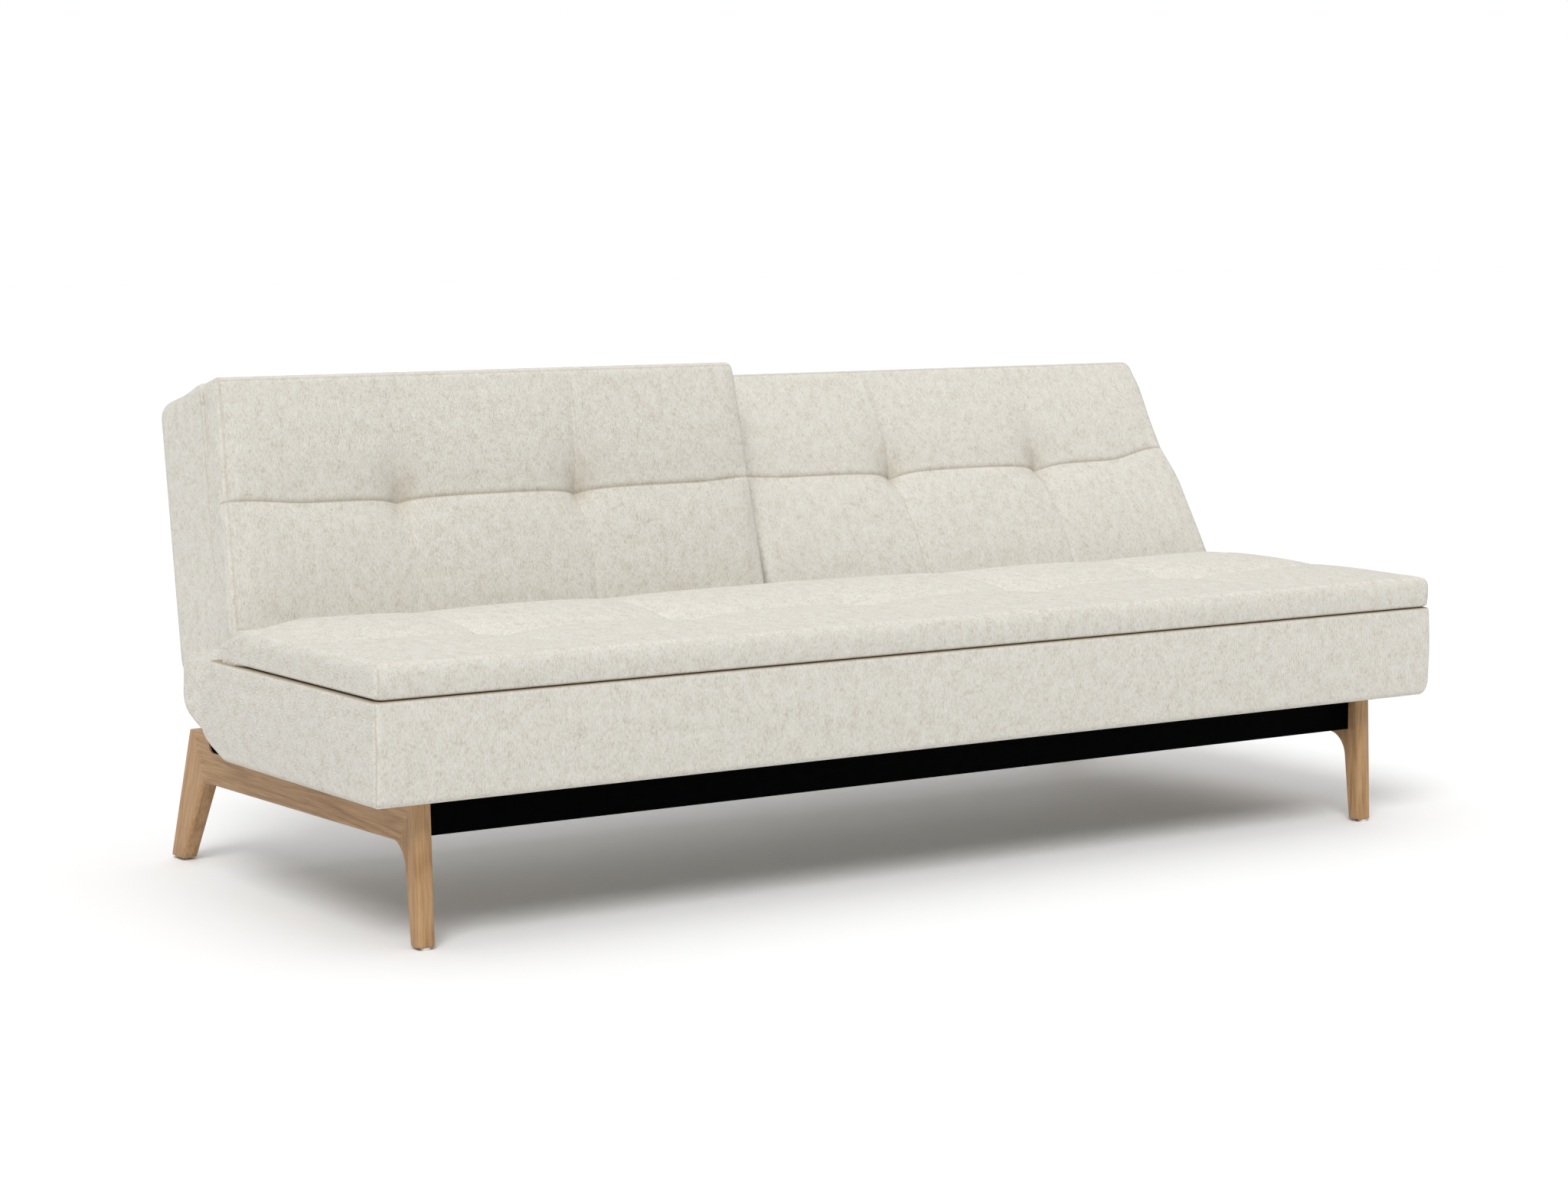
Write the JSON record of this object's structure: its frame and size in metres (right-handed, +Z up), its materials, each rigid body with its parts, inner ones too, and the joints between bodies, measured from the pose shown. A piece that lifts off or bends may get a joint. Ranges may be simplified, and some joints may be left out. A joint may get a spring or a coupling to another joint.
{
  "type": "sofa bed",
  "caption": "Click-clack sofa bed with split reclining back, tufted seat cushion and oak end frames joined by a steel rail",
  "frame": {"origin": "centre of the bounding box on the floor with both backs at their stored tilt", "axes": "+Z up, the front of the seat faces -Y, +X is the viewer's right"},
  "size_m": [2.092, 0.9344, 0.8175],
  "materials": {
    "oak": "clear matt oil",
    "beech": "raw planed beech",
    "cream_fabric": "ribbed weave with light flecks",
    "foam": "open-cell foam",
    "black_steel": "matt black powder coat",
    "zinc_steel": "zinc plated",
    "spring_steel": "blued spring steel",
    "glide_plastic": "hard plastic with felt face"
  },
  "bodies": {
    "base": {"front_leg_left": "oak", "front_leg_right": "oak", "side_rail_left": "oak", "side_rail_right": "oak", "rear_leg_left": "oak", "rear_leg_right": "oak", "glides": "glide_plastic", "front_cross_rail": "black_steel", "rear_cross_tube": "black_steel", "rear_saddle_left": "black_steel", "rear_saddle_right": "black_steel", "support_bars": "black_steel", "frame_bolts": "zinc_steel", "seat_frame": "black_steel", "seat_slats": "beech", "seat_cores": "foam", "seat_box": "cream_fabric", "seat_cushion": "cream_fabric", "hinge_brackets_left": "zinc_steel", "hinge_brackets_right": "zinc_steel", "bracket_bolts_left": "zinc_steel", "bracket_bolts_right": "zinc_steel", "hinge_pins_left": "zinc_steel", "hinge_pins_right": "zinc_steel", "detent_springs_left": "spring_steel", "detent_springs_right": "spring_steel"},
    "back_left": {"back_box_left": "cream_fabric", "back_pad_left": "cream_fabric", "back_frame_left": "black_steel", "back_slats_left": "beech", "back_core_left": "foam", "hinge_arms_left": "zinc_steel", "arm_bolts_left": "zinc_steel"},
    "back_right": {"back_box_right": "cream_fabric", "back_pad_right": "cream_fabric", "back_frame_right": "black_steel", "back_slats_right": "beech", "back_core_right": "foam", "hinge_arms_right": "zinc_steel", "arm_bolts_right": "zinc_steel"}
  },
  "joints": [
    {"name": "back_left_recline", "type": "hinge", "parent": "base", "child": "back_left", "pos_m": [0, 0.1385, 0.354], "axis": [-1, 0, 0], "range_deg": [0, 74.6], "deforming": ["detent_springs_left"]},
    {"name": "back_right_recline", "type": "hinge", "parent": "base", "child": "back_right", "pos_m": [0, 0.1385, 0.354], "axis": [-1, 0, 0], "range_deg": [-14.5, 60.1], "deforming": ["detent_springs_right"]}
  ]
}
